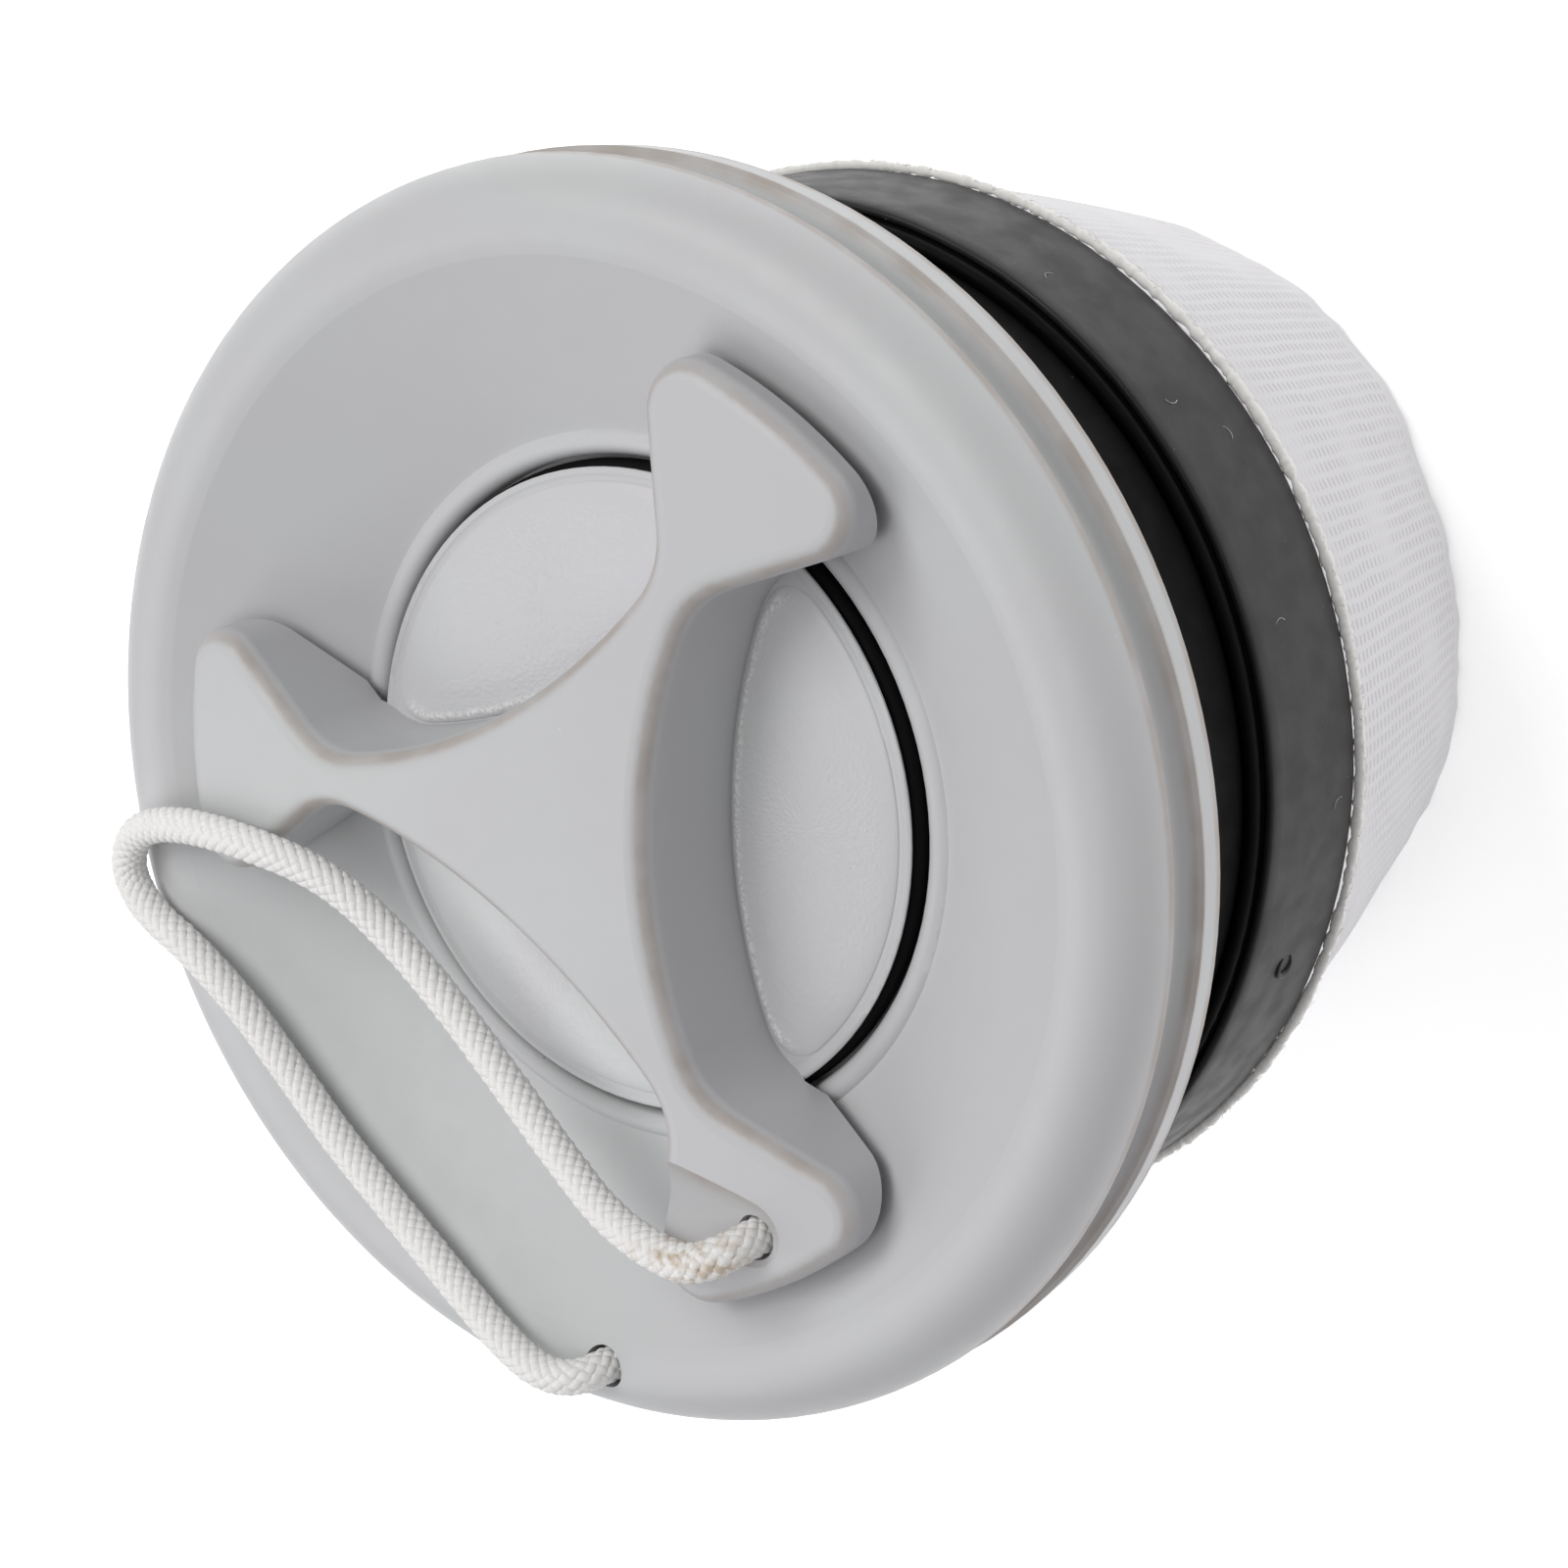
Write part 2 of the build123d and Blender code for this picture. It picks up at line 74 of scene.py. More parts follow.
# ---- sizes, in millimetres ----
cap_hole = (12.97, -34.33)
rim_hole = (-6.93, -47.50)
cord_route = [
    (*cap_hole, 13.2), (*cap_hole, 15.9), (11.3, -35.2, 17.9), (7.4, -36.0, 17.9), (0.5, -33.1, 17.1),
    (-4.8, -28.1, 16.0), (-9.7, -22.8, 15.1), (-15.1, -16.6, 14.4), (-20.3, -10.1, 14.8), (-25.2, -4.4, 16.4),
    (-33.0, -1.0, 17.8), (-41.8, 0.2, 16.5), (-48.2, -0.8, 15.0), (-51.2, -4.5, 14.0), (-49.3, -8.4, 14.1),
    (-44.3, -11.7, 14.4), (-40.3, -16.8, 13.6), (-36.8, -22.4, 13.0), (-32.2, -28.8, 13.0),
    (-26.2, -35.0, 13.4), (-20.2, -40.6, 14.2), (-15.1, -45.4, 14.8), (-11.3, -47.7, 15.0),
    (-8.2, -47.95, 14.4), (*rim_hole, 12.0), (*rim_hole, 9.5),
]
cord_step = 0.18             # spacing of the strands' rings along the cord
braid_pitch = 9.0            # length in which a strand goes once round the cord
braid_radius = 1.2
braid_weave = 0.11           # how far a strand rises over and dips under the others
strands_each_way = 8
strand_width = 0.92
strand_thickness = 0.54
hole_swell = 0.1             # how much fuller the cord is near the cap's hole
fuzz_count = 90
stain_place = (9.0, -36.2, 18.4)   # dirt on the cord at the cap's hole

first_arm = 50.7             # azimuth of one arm, degrees
side_radius = 50.5           # hollow sides of the hub between two arms
side_reach = 9.9
pad_edge_radius = 26.0       # outer edge of the pads, inside the disc's valley
pad_rounding = 4.5           # how round a pad's corners are
pad_wall_gap = 0.1
pad_rise = 0.34              # height of a pad's rounded edge over the disc
pad_dome = 0.42              # further rise from the edge to the middle
pad_middle = 17.8
crown_radius = 9.0           # the disc's face falls in a shallow bow from here to the pads' foot
crown_height = 5.5
crown_fall = 0.45
crown_reach = 16.6
pad_turns = 460
pad_rings = 84
grain_size = 0.42
grain_depth = 0.06

shade_line_heights = (0.2, 3.1, 7.6)      # heights of the lip's two edges and the rim's lower edge, where lines of brownish shade are painted
band_radius = 46.2
band_bore = 43.25
band_face_radius = 45.3
gate_azimuth = -28.3
gate_height = -25.0
gate_radius = 0.95
lint_places = ((34, -23.5), (28, -27.0), (9, -24.0), (52, -22.0), (-12, -28.5), (130, -24.0),
               (205, -26.0), (-80, -23.0))   # azimuths in degrees, and heights

sock_thickness = 0.45
sock_segments = 900
sock_rings = 64
clamped_radius = 43.5        # the sock's flange reaches in to here, under the band
bead_thickness = 0.44        # half the thickness of the sleeve's frayed edge
tuft_count = 2200
mouth_radius = 38.2
mouth_bulge = (40, 20, 1.0)  # azimuth and width in degrees, then how far out, or in for the dent
mouth_dent = (-45, 25, 1.4)
band_tuck = (105, 30, 0.5)   # where the sleeve draws in just below the band
taut_side = (85, 45, 0.75)   # where the folds are smaller, and by what share
fold_depth = 0.75
ripple_depth = 0.28
weave_pitch = 1.25           # one dash of the weave, round the sleeve
weave_row = 1.0              # and along it
weave_radius = 42.0
weave_end = -64.0            # no dashes past this height


# ---- camera, lights and floor ----
camera_aim = Vector((10.4, -0.7, -1.0)) * MM
camera_distance = 0.4
camera_toward = Vector((0.6065, 0.1868, 0.7728)).normalized()
camera_right = Vector((0.7951, -0.1425, -0.5895)).normalized()
camera_lens = 112.5
floor_height = cad_box[0][2]
floor_half = 3.0
floor_glow = 0.45
sky_strength = 0.25
studio_lights = (            # name, place and size in metres, watts, colour
    ("key", (-0.14, 0.55, 0.82), 0.55, 4.1, (1.0, 1.0, 0.99)),
    ("top", (0.22, 0.08, 0.97), 0.6, 2.0, (1.0, 0.995, 1.0)),
    ("fill", (-0.62, -0.35, 0.6), 0.8, 2.9, (0.98, 0.98, 1.0)),
    ("rim", (0.8, 0.0, 0.3), 0.7, 0.12, (1.0, 0.95, 0.97)),
)


def make_camera():
    """The camera looks down on the cap from its right, rolled so that the axis leans left."""
    up = camera_toward.cross(camera_right)
    axes = Matrix((camera_right, up, camera_toward)).transposed().to_4x4()
    data = bpy.data.cameras.new("camera")
    data.lens = camera_lens
    data.sensor_width = 36
    data.clip_start = 0.01
    camera = bpy.data.objects.new("camera", data)
    camera.matrix_world = Matrix.Translation(camera_aim + camera_toward * camera_distance) @ axes
    bpy.context.scene.collection.objects.link(camera)
    bpy.context.scene.camera = camera


def area_light(name, place, size, watts, colour):
    """A square soft light at a place, facing the object."""
    data = bpy.data.lights.new(name, "AREA")
    data.shape = "SQUARE"
    data.size = size
    data.energy = watts
    data.color = colour
    light = bpy.data.objects.new(name, data)
    light.location = place
    light.rotation_euler = (Vector((0, 0, -0.01)) - Vector(place)).to_track_quat("-Z", "Y").to_euler()
    bpy.context.scene.collection.objects.link(light)


def make_stage():
    """A pale floor under the sock's mouth, a pale world, and the soft lights."""
    mesh = bpy.data.meshes.new("floor")
    corners = [(-floor_half, -floor_half, 0), (floor_half, -floor_half, 0),
               (floor_half, floor_half, 0), (-floor_half, floor_half, 0)]
    mesh.from_pydata(corners, [], [(0, 1, 2, 3)])
    floor = bpy.data.objects.new("floor", mesh)
    floor.location.z = floor_height
    bpy.context.scene.collection.objects.link(floor)
    paint = Shading("floor_white", 0.9)
    paint.colour((0.95, 0.95, 0.955))
    paint.shader.inputs["Emission Color"].default_value = (1, 1, 1, 1)
    paint.shader.inputs["Emission Strength"].default_value = floor_glow
    mesh.materials.append(paint.material)
    world = bpy.data.worlds.new("studio")
    world.use_nodes = True
    sky = world.node_tree.nodes["Background"]
    sky.inputs["Color"].default_value = (1, 1, 1, 1)
    sky.inputs["Strength"].default_value = sky_strength
    bpy.context.scene.world = world
    for light in studio_lights:
        area_light(*light)


# ---- materials ----
class Shading:
    """A material's node tree, with short ways to add nodes and join them."""

    def __init__(self, name, roughness):
        self.material = bpy.data.materials.new(name)
        self.material.use_nodes = True
        self.tree = self.material.node_tree
        self.shader = self.tree.nodes["Principled BSDF"]
        self.shader.inputs["Roughness"].default_value = roughness
        self.place = self.add("ShaderNodeTexCoord").outputs["Object"]

    def add(self, kind):
        """A new node."""
        return self.tree.nodes.new(kind)

    def put(self, socket, value):
        """Set a socket to a number or colour, or join it to another socket."""
        if isinstance(value, bpy.types.NodeSocket):
            self.tree.links.new(value, socket)
        else:
            socket.default_value = value

    def colour(self, value):
        """Set or join the base colour."""
        self.put(self.shader.inputs["Base Color"], value if not isinstance(value, tuple) else (*value, 1))

    def sum(self, operation, a, b=0.0):
        """One Math node."""
        node = self.add("ShaderNodeMath")
        node.operation = operation
        self.put(node.inputs[0], a)
        self.put(node.inputs[1], b)
        return node.outputs[0]

    def step(self, value, low, high, start=0.0, end=1.0):
        """A smooth step from start to end as the value goes from low to high."""
        node = self.add("ShaderNodeMapRange")
        node.interpolation_type = "SMOOTHSTEP"
        self.put(node.inputs["Value"], value)
        for name, number in (("From Min", low), ("From Max", high), ("To Min", start), ("To Max", end)):
            node.inputs[name].default_value = number
        return node.outputs["Result"]

    def mix(self, factor, a, b):
        """A mix of two colours."""
        node = self.add("ShaderNodeMix")
        node.data_type = "RGBA"
        self.put(node.inputs[0], factor)
        self.put(node.inputs[6], (*a, 1) if isinstance(a, tuple) else a)
        self.put(node.inputs[7], (*b, 1) if isinstance(b, tuple) else b)
        return node.outputs[2]

    def noise(self, size, detail=2.0, vector=None):
        """Noise with features of a size in millimetres."""
        node = self.add("ShaderNodeTexNoise")
        self.put(node.inputs["Vector"], vector or self.place)
        node.inputs["Scale"].default_value = 1 / (size * MM)
        node.inputs["Detail"].default_value = detail
        return node.outputs["Fac"]

    def specks(self, spacing, radius, share):
        """Round specks of a radius, in a share of the cells of a spacing, in millimetres."""
        node = self.add("ShaderNodeTexVoronoi")
        self.put(node.inputs["Vector"], self.place)
        node.inputs["Scale"].default_value = 1 / (spacing * MM)
        spot = self.step(node.outputs["Distance"], 0.6 * radius / spacing, radius / spacing, 1, 0)
        split = self.add("ShaderNodeSeparateColor")
        self.put(split.inputs[0], node.outputs["Color"])
        chosen = self.sum("LESS_THAN", split.outputs[0], share)
        return self.sum("MULTIPLY", spot, chosen)

    def axis(self, name):
        """One of the place's coordinates, in metres."""
        split = self.add("ShaderNodeSeparateXYZ")
        self.put(split.inputs[0], self.place)
        return split.outputs[name]

    def normal(self, name):
        """One of the true normal's coordinates."""
        split = self.add("ShaderNodeSeparateXYZ")
        self.put(split.inputs[0], self.add("ShaderNodeNewGeometry").outputs["Normal"])
        return split.outputs[name]

    def attribute(self, name):
        """The value of a mesh attribute."""
        node = self.add("ShaderNodeAttribute")
        node.attribute_name = name
        return node.outputs["Fac"]

    def radius(self):
        """The distance from the drain's axis, in metres."""
        return self.sum("SQRT", self.sum("ADD", self.sum("POWER", self.axis("X"), 2.0),
                                         self.sum("POWER", self.axis("Y"), 2.0)))

    def bump(self, *layers):
        """Bumps in order, each a height, a strength and a depth in millimetres."""
        last = None
        for height, strength, depth in layers:
            node = self.add("ShaderNodeBump")
            node.inputs["Strength"].default_value = strength
            node.inputs["Distance"].default_value = depth * MM
            self.put(node.inputs["Height"], height)
            if last:
                self.put(node.inputs["Normal"], last)
            last = node.outputs["Normal"]
        self.put(self.shader.inputs["Normal"], last)


def gray_plastic(name):
    """Satin gray moulding: fine grain, slow lilac tint, painted brownish shade along the rolled edges and
    edge lines, a few specks.
    """
    paint = Shading(name, 0.44)
    height = paint.axis("Z")
    slope = paint.normal("Z")
    radius = paint.radius()
    tint = paint.step(paint.noise(26, 1), 0.3, 0.7)
    base = paint.mix(tint, (0.575, 0.585, 0.588), (0.566, 0.562, 0.578))
    # painted shade: brownish darkening on the grip's rolled top edges, and in narrow lines at the lip's edges
    # and the rim's lower edge
    tall = paint.step(height, 13.0 * MM, 15.0 * MM)
    rolled = paint.sum("MULTIPLY", paint.step(slope, 0.2, 0.55), paint.step(slope, 0.75, 0.97, 1, 0))
    edges = paint.sum("MULTIPLY", tall, rolled)
    for line_height in shade_line_heights:
        off_line = paint.sum("ABSOLUTE", paint.sum("SUBTRACT", height, line_height * MM))
        line = paint.sum("MULTIPLY", paint.step(off_line, 0.2 * MM, 0.75 * MM, 1, 0),
                         paint.step(radius, 51.6 * MM, 52.3 * MM))
        edges = paint.sum("MAXIMUM", edges, line)
    edge_shade = paint.sum("MULTIPLY", edges, paint.step(paint.noise(5, 3), 0.3, 0.7, 0.45, 0.95))
    base = paint.mix(edge_shade, base, (0.44, 0.395, 0.365))
    base = paint.mix(paint.sum("MULTIPLY", paint.specks(5.5, 0.11, 0.22), 0.75), base, (0.2, 0.17, 0.15))
    base = paint.mix(paint.sum("MULTIPLY", paint.specks(3.4, 0.08, 0.12), 0.6), base, (0.85, 0.85, 0.85))
    paint.colour(base)
    paint.put(paint.shader.inputs["Roughness"], paint.step(paint.noise(3, 3), 0.25, 0.75, 0.4, 0.5))
    paint.bump((paint.noise(14, 2), 0.35, 0.12), (paint.noise(0.16, 2), 0.35, 0.02))
    return paint.material


def leather_gray():
    """The pads' grained face: the same gray, with pale worn grain at the seam."""
    paint = Shading("pad_grain", 0.4)
    patchy = paint.sum("MULTIPLY", paint.attribute("worn"), paint.step(paint.noise(0.35, 3), 0.42, 0.6))
    base = paint.mix(paint.step(paint.noise(18, 2), 0.35, 0.65), (0.625, 0.635, 0.638), (0.615, 0.606, 0.628))
    base = paint.mix(patchy, base, (0.83, 0.82, 0.815))
    paint.colour(paint.mix(paint.sum("MULTIPLY", paint.specks(4, 0.09, 0.3), 0.7), base, (0.16, 0.14, 0.13)))
    paint.put(paint.shader.inputs["Roughness"], paint.step(paint.noise(0.5, 3), 0.3, 0.7, 0.3, 0.42))
    paint.bump((paint.noise(0.14, 2), 0.5, 0.025))
    return paint.material


def black_moulding(name, shade, roughness, shine, dust):
    """Black plastic or rubber with a fine surface and a share of pale dust."""
    paint = Shading(name, roughness)
    paint.shader.inputs["Specular IOR Level"].default_value = shine
    bloom = shade * 1.5
    base = paint.mix(paint.noise(6, 3), (shade, shade, shade), (bloom, bloom, bloom))
    specks = paint.sum("ADD", paint.specks(1.5, 0.07, dust), paint.specks(3.7, 0.12, dust))
    paint.colour(paint.mix(paint.sum("MULTIPLY", specks, 0.6), base, (0.42, 0.41, 0.4)))
    paint.put(paint.shader.inputs["Roughness"],
              paint.step(paint.noise(2.5, 3), 0.3, 0.7, roughness - 0.05, roughness + 0.07))
    paint.bump((paint.noise(4, 2), 0.3, 0.1), (paint.noise(0.2, 2), 0.35, 0.02))
    return paint.material


def band_rubber():
    """Dull dark gray rubber with fine scuffs, a dusty bloom and specks."""
    paint = Shading("band_rubber", 0.5)
    paint.shader.inputs["Specular IOR Level"].default_value = 0.4
    bloom = paint.step(paint.noise(8, 4), 0.3, 0.75)
    base = paint.mix(bloom, (0.015, 0.015, 0.016), (0.026, 0.025, 0.027))
    dust = paint.sum("ADD", paint.specks(1.3, 0.06, 0.14), paint.specks(3.1, 0.1, 0.2))
    paint.colour(paint.mix(paint.sum("MULTIPLY", dust, 0.5), base, (0.36, 0.35, 0.34)))
    paint.put(paint.shader.inputs["Roughness"], paint.step(paint.noise(3, 4), 0.3, 0.7, 0.4, 0.52))
    paint.bump((paint.noise(5, 3), 0.3, 0.12), (paint.noise(0.22, 3), 0.45, 0.03))
    return paint.material


def sock_weave():
    """White open weave: straight rows of small gray dashes, faint or missing in patches and at the mouth."""
    paint = Shading("sock_weave", 0.75)
    height = paint.axis("Z")
    azimuth = paint.sum("ARCTAN2", paint.axis("Y"), paint.axis("X"))
    wander = paint.sum("MULTIPLY", paint.noise(6, 2), 0.6)
    column = paint.sum("ADD", paint.sum("MULTIPLY", azimuth, weave_radius / weave_pitch), wander)
    row = paint.sum("ADD", paint.sum("DIVIDE", height, weave_row * MM), wander)
    across = paint.sum("ABSOLUTE", paint.sum("SINE", paint.sum("MULTIPLY", column, math.pi)))
    along = paint.sum("ABSOLUTE", paint.sum("SINE", paint.sum("MULTIPLY", row, math.pi)))
    dash = paint.sum("MULTIPLY", paint.step(across, 0.4, 0.8), paint.step(along, 0.7, 0.97))
    shown = paint.sum("MULTIPLY", paint.step(paint.noise(13, 3), 0.36, 0.56, 0.25, 1.0),
                      paint.step(height, weave_end * MM, (weave_end + 1.5) * MM))
    dash = paint.sum("MULTIPLY", dash, shown)
    base = paint.mix(paint.noise(9, 3), (0.81, 0.798, 0.813), (0.75, 0.735, 0.758))
    paint.colour(paint.mix(dash, base, (0.63, 0.615, 0.65)))
    paint.shader.inputs["Sheen Weight"].default_value = 0.25
    paint.bump((paint.noise(7, 3), 0.4, 0.3), (dash, 0.5, -0.1), (paint.noise(0.15, 2), 0.3, 0.03))
    return paint.material


def thread_white(name, colour, dirt=0.0):
    """Spun white fibre, with fibres along each strand, specks, and dirt round the cap's hole."""
    paint = Shading(name, 0.8)
    strand = paint.add("ShaderNodeAttribute")
    strand.attribute_name = "strand"
    fibre = paint.add("ShaderNodeTexNoise")
    paint.put(fibre.inputs["Vector"], strand.outputs["Vector"])
    fibre.inputs["Scale"].default_value = 3.2
    fibre.inputs["Detail"].default_value = 3
    dull = tuple(part * 0.92 for part in colour)
    base = paint.mix(paint.step(fibre.outputs["Fac"], 0.3, 0.7), dull, colour)
    base = paint.mix(paint.step(paint.noise(3.5, 3), 0.5, 0.8, 0, 0.2), base, (0.8, 0.77, 0.72))
    if dirt:
        reach = paint.add("ShaderNodeVectorMath")
        reach.operation = "DISTANCE"
        paint.put(reach.inputs[0], paint.place)
        reach.inputs[1].default_value = Vector(stain_place) * MM
        near = paint.step(reach.outputs["Value"], 2.0 * MM, 7.5 * MM, 1, 0)
        stain = paint.sum("MULTIPLY", near, paint.step(paint.noise(1.3, 4), 0.42, 0.68, 0, dirt))
        base = paint.mix(stain, base, (0.5, 0.36, 0.22))
    specks = paint.sum("MULTIPLY", paint.specks(1.9, 0.08, 0.16), 0.6)
    paint.colour(paint.mix(specks, base, (0.2, 0.17, 0.15)))
    paint.shader.inputs["Sheen Weight"].default_value = 0.3
    paint.bump((fibre.outputs["Fac"], 0.4, 0.06), (paint.noise(0.12, 2), 0.35, 0.025))
    return paint.material


# ---- mesh helpers ----
def make_piece(name, vertices, faces, material):
    """A smooth mesh piece from points in metres."""
    mesh = bpy.data.meshes.new(name)
    mesh.from_pydata([tuple(point) for point in vertices], [], [tuple(face) for face in faces])
    mesh.validate()
    mesh.polygons.foreach_set("use_smooth", [True] * len(mesh.polygons))
    mesh.materials.append(material)
    piece = bpy.data.objects.new(name, mesh)
    bpy.context.scene.collection.objects.link(piece)
    return piece


def face_outwards(piece):
    """Turn a closed piece's faces outwards."""
    mesh = bmesh.new()
    mesh.from_mesh(piece.data)
    bmesh.ops.recalc_face_normals(mesh, faces=mesh.faces)
    mesh.to_mesh(piece.data)
    mesh.free()


def lathe(name, profile, segments, material, shape):
    """Revolve a closed profile of radii and heights; shape moves each point by its azimuth."""
    count = len(profile)
    vertices = []
    faces = []
    for i in range(segments):
        azimuth = math.tau * i / segments
        for radius, height in profile:
            moved_radius, moved_height = shape(radius, height, azimuth)
            vertices.append(Vector((moved_radius * math.cos(azimuth), moved_radius * math.sin(azimuth),
                                    moved_height)) * MM)
        following = (i + 1) % segments
        for j in range(count):
            beyond = (j + 1) % count
            faces.append((i * count + j, following * count + j,
                          following * count + beyond, i * count + beyond))
    piece = make_piece(name, vertices, faces, material)
    face_outwards(piece)
    return piece


def ring_faces(rings, sides, start=0, closed_ends=True):
    """Faces of a tube of rings with a number of sides, its ends closed."""
    faces = []
    for i in range(rings - 1):
        for j in range(sides):
            k = (j + 1) % sides
            first = start + i * sides
            faces.append((first + j, first + k, first + sides + k, first + sides + j))
    if closed_ends:
        faces.append(tuple(start + j for j in reversed(range(sides))))
        faces.append(tuple(start + (rings - 1) * sides + j for j in range(sides)))
    return faces


def unit(vectors):
    """Vectors brought to length one."""
    return vectors / np.linalg.norm(vectors, axis=-1, keepdims=True)


def carried_frame(points):
    """Tangents, normals and binormals carried along a line without twist."""
    tangents = unit(np.gradient(points, axis=0))
    normals = np.zeros_like(points)
    normals[0] = unit(np.cross(tangents[0], (1.0, 0.0, 0.0)))
    for i in range(1, len(points)):
        carried = normals[i - 1] - tangents[i] * np.dot(normals[i - 1], tangents[i])
        normals[i] = unit(carried)
    return tangents, normals, np.cross(tangents, normals)


def fibre_mesh(name, lines, radius, material):
    """Many thin three-sided fibres, each along its own short line, as one piece."""
    sides = 3
    vertices = []
    faces = []
    for line in lines:
        points = np.array(line)
        tangents, normals, binormals = carried_frame(points)
        start = len(vertices)
        for i, point in enumerate(points):
            taper = radius * (1 - 0.6 * i / (len(points) - 1))
            for j in range(sides):
                angle = math.tau * j / sides
                outward = normals[i] * math.cos(angle) + binormals[i] * math.sin(angle)
                vertices.append(point + outward * taper)
        faces += ring_faces(len(points), sides, start)
    return make_piece(name, vertices, faces, material)


# ---- tether cord ----
def cord_line():
    """The cord's centreline: points read from the route's NURBS curve, then spaced evenly."""
    curve = bpy.data.curves.new("cord_route", "CURVE")
    curve.dimensions = "3D"
    curve.resolution_u = 24
    spline = curve.splines.new("NURBS")
    spline.points.add(len(cord_route) - 1)
    for point, place in zip(spline.points, cord_route):
        point.co = (*(Vector(place) * MM), 1)
    spline.order_u = 3
    spline.use_endpoint_u = True
    holder = bpy.data.objects.new("cord_route", curve)
    bpy.context.scene.collection.objects.link(holder)
    bpy.context.view_layer.update()
    mesh = bpy.data.meshes.new_from_object(holder)
    read = np.array([vertex.co for vertex in mesh.vertices])
    bpy.data.objects.remove(holder)
    bpy.data.meshes.remove(mesh)
    run = np.concatenate([[0], np.cumsum(np.linalg.norm(np.diff(read, axis=0), axis=1))])
    stations = np.linspace(0, run[-1], int(run[-1] / (cord_step * MM)) + 1)
    return np.stack([np.interp(stations, run, read[:, axis]) for axis in range(3)], axis=1), stations / MM


def braided_cord(line, stations):
    """Sixteen strands, eight each way, that pass over one and under one, round a plain core."""
    tangents, normals, binormals = carried_frame(line)
    swell = 1 + hole_swell * np.exp(-((stations - 8.0) / 6.0) ** 2)
    vertices = []
    faces = []
    strand_place = []
    sides = 8
    for way in (1, -1):
        for i in range(strands_each_way):
            theta = math.tau * i / strands_each_way + way * math.tau * stations / braid_pitch
            lift = way * braid_weave * np.cos(strands_each_way * theta)
            outward = normals * np.cos(theta)[:, None] + binormals * np.sin(theta)[:, None]
            middle = line + outward * ((braid_radius + lift) * swell * MM)[:, None]
            sideways = unit(np.cross(unit(np.gradient(middle, axis=0)), outward))
            plump = 1 + 0.08 * dice.uniform(-1, 1)
            start = len(vertices)
            for k in range(len(line)):
                for j in range(sides):
                    angle = math.tau * j / sides
                    across = strand_width / 2 * plump * math.sin(angle) * swell[k] * MM
                    above = strand_thickness / 2 * plump * math.cos(angle) * swell[k] * MM
                    vertices.append(middle[k] + sideways[k] * across + outward[k] * above)
                    strand_place.append((2 * math.cos(angle) + 7 * i, 2 * math.sin(angle) + 13 * way,
                                         stations[k] * 0.35))
            faces += ring_faces(len(line), sides, start)
    start = len(vertices)
    for k in range(len(line)):
        for j in range(sides):
            angle = math.tau * j / sides
            outward = normals[k] * math.cos(angle) + binormals[k] * math.sin(angle)
            vertices.append(line[k] + outward * (braid_radius - 0.2) * MM)
            strand_place.append((0, 0, stations[k] * 0.35))
    faces += ring_faces(len(line), sides, start)
    material = thread_white("cord_braid", (0.93, 0.92, 0.905), dirt=0.8)
    cord = make_piece("braided_cord", vertices, faces, material)
    attribute = cord.data.attributes.new("strand", "FLOAT_VECTOR", "POINT")
    attribute.data.foreach_set("vector", np.array(strand_place, np.float32).ravel())
    return cord


def cord_fuzz(line):
    """Short loose fibres that stand off the cord."""
    lines = []
    tangents, normals, binormals = carried_frame(line)
    for _ in range(fuzz_count):
        k = dice.randrange(20, len(line) - 20)
        angle = dice.uniform(0, math.tau)
        outward = normals[k] * math.cos(angle) + binormals[k] * math.sin(angle)
        lean = tangents[k] * dice.uniform(-1, 1) + binormals[k] * dice.uniform(-0.4, 0.4)
        root = line[k] + outward * 1.35 * MM
        reach = dice.uniform(0.25, 0.6) * MM
        middle = root + (outward + lean) * 0.5 * reach
        lines.append([root, middle, root + (outward * 0.7 + lean) * reach])
    return fibre_mesh("cord_fuzz", lines, 0.018 * MM, knot_material)


def make_cord():
    """The tether, from the knot in the cap's arm to the knot in the rim."""
    line, stations = cord_line()
    cord = braided_cord(line, stations)
    fuzz = cord_fuzz(line)
    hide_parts("tether_cord")
    for piece in (cord, fuzz):
        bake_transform(piece)


# ---- drain sock ----
def sock_shape(top, mouth):
    """How a point of the straight sleeve is moved: folds that grow to the mouth, one dent, one bulge."""
    def lobe(azimuth, middle, width, height):
        turned = (math.degrees(azimuth) - middle + 180) % 360 - 180
        return height * math.exp(-(turned / width) ** 2)

    def shape(radius, height, azimuth):
        depth = min(1.0, max(0.0, (top - height) / (top - mouth)))
        loose = depth ** 1.3
        round_place = Vector((math.cos(azimuth), math.sin(azimuth), 0.0))
        folds = noise.fractal(round_place * 3.2 + Vector((0, 0, depth * 0.7)), 0.8, 2.1, 3)
        ripples = noise.fractal(round_place * 14 + Vector((0, 0, depth * 0.5)), 0.9, 2.0, 2)
        outwards = lobe(azimuth, *mouth_bulge) - lobe(azimuth, *mouth_dent)
        taut = 1 - lobe(azimuth, *taut_side)
        tuck = lobe(azimuth, *band_tuck) * math.sin(math.pi * min(1.0, depth * 2.2))
        sag = 0.3 * math.sin(math.pi * depth)
        drop = 0.25 * math.sin(5 * azimuth + 1.0) + 0.3 * ripples
        moved = sag - tuck + loose * (outwards + taut * (fold_depth * folds + ripple_depth * ripples))
        return radius + moved, height + loose * taut * drop

    return shape


